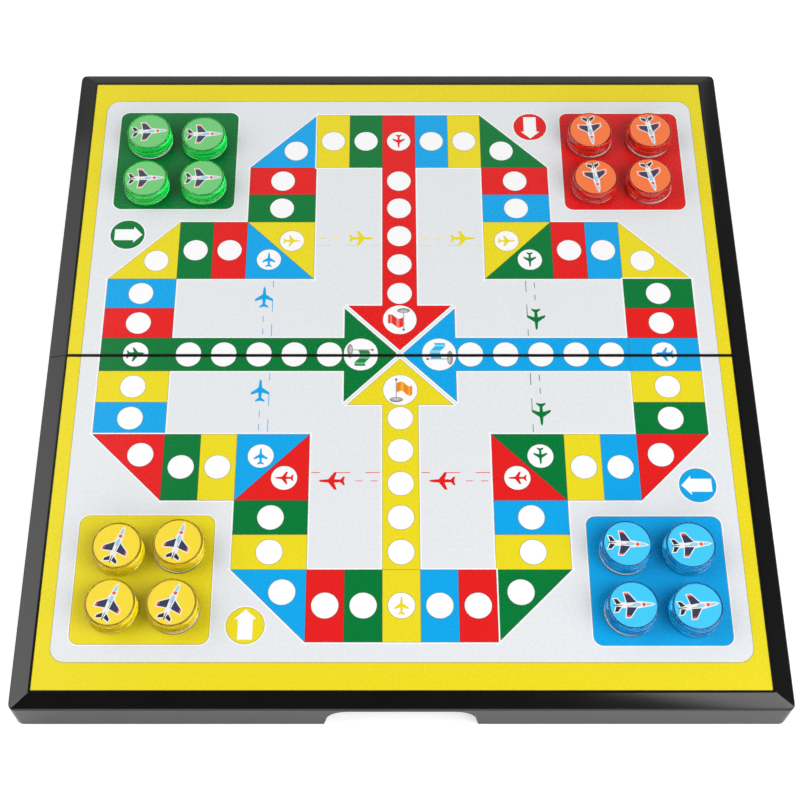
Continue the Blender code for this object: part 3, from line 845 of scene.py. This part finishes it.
# %% The floor
def studio_floor():
    material, tree, surface = new_material("Studio table, matt white", "#D8D8D8")
    surface.inputs["Roughness"].default_value = 0.9
    rays = add_node(tree, "ShaderNodeLightPath")
    mirrored_rays = add_node(tree, "ShaderNodeMath", {0: rays.outputs["Is Glossy Ray"],
                                                      1: rays.outputs["Is Transmission Ray"]}, operation='MAXIMUM')
    dimmed = add_node(tree, "ShaderNodeMath", {0: mirrored_rays.outputs[0], 1: 0.10}, operation='MULTIPLY')
    lift = add_node(tree, "ShaderNodeMath", {0: rays.outputs["Is Camera Ray"], 1: 0.60, 2: dimmed.outputs[0]},
                    operation='MULTIPLY_ADD')
    tree.links.new(lift.outputs[0], surface.inputs["Emission Strength"])
    surface.inputs["Emission Color"].default_value = (1, 1, 1, 1)
    return material


bpy.ops.object.select_all(action='DESELECT')
bpy.ops.mesh.primitive_plane_add(size=8, location=(0, 0, 0))
floor = bpy.context.object
floor.name = "studio_floor"
floor.data.materials.append(studio_floor())
floor.location.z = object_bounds()[0].z - 0.05 * MM


# %% The softboxes
def softbox(name, centre, width, height, radiance, fade=0.0):
    """A rectangular lamp aimed at the board. Its radiance falls off towards one side by the share fade."""
    light = bpy.data.lights.new(name, 'AREA')
    light.shape, light.size, light.size_y = 'RECTANGLE', width, height
    light.energy = radiance * math.pi * width * height
    light.use_nodes = True
    tree = light.node_tree
    across = add_node(tree, "ShaderNodeNewGeometry").outputs["Parametric"]
    side = add_node(tree, "ShaderNodeSeparateXYZ", {"Vector": across}).outputs["X"]
    level = add_node(tree, "ShaderNodeMapRange", {"Value": side, "To Min": 1.0, "To Max": 1.0 - fade})
    tree.links.new(level.outputs["Result"], tree.nodes["Emission"].inputs["Strength"])
    lamp = bpy.data.objects.new(name, light)
    bpy.context.scene.collection.objects.link(lamp)
    lamp.location = centre
    lamp.rotation_euler = Vector(centre).to_track_quat('Z', 'Y').to_euler()
    return lamp


softbox("softbox_left", (-0.68, 0.14, 0.60), 1.0, 0.80, 0.90, -2.6)
softbox("softbox_right", (0.675, -0.335, 0.70), 0.75, 0.90, 3.6)
softbox("softbox_front", (0, -0.95, 0.42), 1.1, 0.40, 2.2)
softbox("card_back", (0, 0.77, 0.64), 1.6, 0.42, 0.5)


# %% The room: pale near the horizon, dark overhead
def room():
    world = bpy.data.worlds.new("studio room")
    world.use_nodes = True
    tree = world.node_tree
    ray = add_node(tree, "ShaderNodeTexCoord").outputs["Generated"]
    height = add_node(tree, "ShaderNodeSeparateXYZ", {"Vector": ray}).outputs["Z"]
    ramp = add_node(tree, "ShaderNodeValToRGB", {"Fac": height})
    stops = ramp.color_ramp.elements
    stops[0].position, stops[0].color = 0.02, (0.9, 0.9, 0.9, 1)
    stops[1].position, stops[1].color = 0.95, (0.03, 0.03, 0.03, 1)
    for position, level in ((0.15, 0.55), (0.30, 0.42), (0.52, 0.13), (0.80, 0.05)):
        stops.new(position).color = (level, level, level, 1)
    tree.links.new(ramp.outputs["Color"], tree.nodes["Background"].inputs["Color"])
    tree.nodes["Background"].inputs["Strength"].default_value = 1.0
    return world


bpy.context.scene.world = room()

# %% [markdown]
# ## Camera
#
# The view was fitted to the outline and the printed grid in the photo: a lens of 69 mm on a 36 mm sensor, 70 cm
# from the board and about 62 degrees above the table. The board's long edges are level in the photo, so the
# camera isn't turned, and a small sideways shift of the lens gives the framing.

# %% Camera and view
lens = bpy.data.cameras.new("photo camera")
lens.lens, lens.sensor_width, lens.shift_x = 68.84, 36.0, 0.0218
camera = bpy.data.objects.new("photo camera", lens)
bpy.context.scene.collection.objects.link(camera)
camera.location = (-0.00772, -0.34602, 0.62506)
camera.rotation_euler = (0.49107, 0, 0)
bpy.context.scene.camera = camera
bpy.context.scene.view_settings.view_transform = 'Standard'
